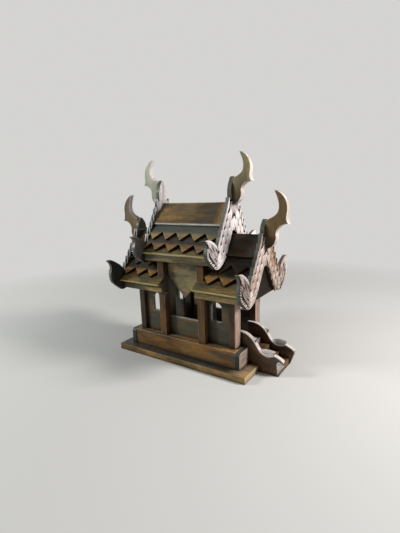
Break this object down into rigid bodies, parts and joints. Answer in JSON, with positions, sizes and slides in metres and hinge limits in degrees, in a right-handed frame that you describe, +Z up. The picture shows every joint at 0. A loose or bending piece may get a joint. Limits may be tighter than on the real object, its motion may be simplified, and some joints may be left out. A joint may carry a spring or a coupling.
{
  "type": "spirit house",
  "caption": "Small wooden spirit house with three bays, two lower wing roofs, a taller middle roof, carved gables with horn finials and an end stair.",
  "frame": {"origin": "middle of the base board's underside", "axes": "+X along the house to the stair, -Y the front, +Z up"},
  "size_m": [0.5732, 0.312, 0.5765],
  "materials": {
    "wall_teak": "dark stained and lacquered, worn edges",
    "roof_teak": "dark stained and lacquered, worn edges",
    "base_teak": "dark stained and lacquered, worn edges",
    "carved_teak": "dark stained and lacquered, worn edges",
    "finial_teak": "dark stained and lacquered, worn edges"
  },
  "bodies": {
    "root": {"base_board": "base_teak", "corner_posts_back": "wall_teak", "corner_posts_front": "wall_teak", "cross_wall_left": "wall_teak", "cross_wall_right": "wall_teak", "floor_board": "base_teak", "low_panel_back": "wall_teak", "low_panel_front": "wall_teak", "main_bargeboard_left": "carved_teak", "main_bargeboard_right": "carved_teak", "main_chofas": "finial_teak", "main_eave_beams": "wall_teak", "main_eave_boards": "roof_teak", "main_gable_leaves": "carved_teak", "main_lower_teeth": "roof_teak", "main_pediments": "wall_teak", "main_ridge_board_back": "roof_teak", "main_ridge_board_front": "roof_teak", "main_upper_teeth": "roof_teak", "mid_posts_back": "wall_teak", "mid_posts_front": "wall_teak", "plinth_back": "base_teak", "plinth_end_left": "base_teak", "plinth_end_right": "base_teak", "plinth_front": "base_teak", "stair_stringers": "wall_teak", "stair_treads": "wall_teak", "valance_back": "wall_teak", "valance_front": "wall_teak", "window_wall_back_left": "wall_teak", "window_wall_back_right": "wall_teak", "window_wall_front_left": "wall_teak", "window_wall_front_right": "wall_teak", "wing_bargeboard_left": "carved_teak", "wing_bargeboard_right": "carved_teak", "wing_chofas": "finial_teak", "wing_eave_beams_back": "wall_teak", "wing_eave_beams_front": "wall_teak", "wing_eave_boards": "roof_teak", "wing_gable_leaves": "carved_teak", "wing_lower_teeth": "roof_teak", "wing_pediments": "wall_teak", "wing_ridge_boards_back": "roof_teak", "wing_ridge_boards_front": "roof_teak", "wing_upper_teeth": "roof_teak"}
  },
  "joints": []
}
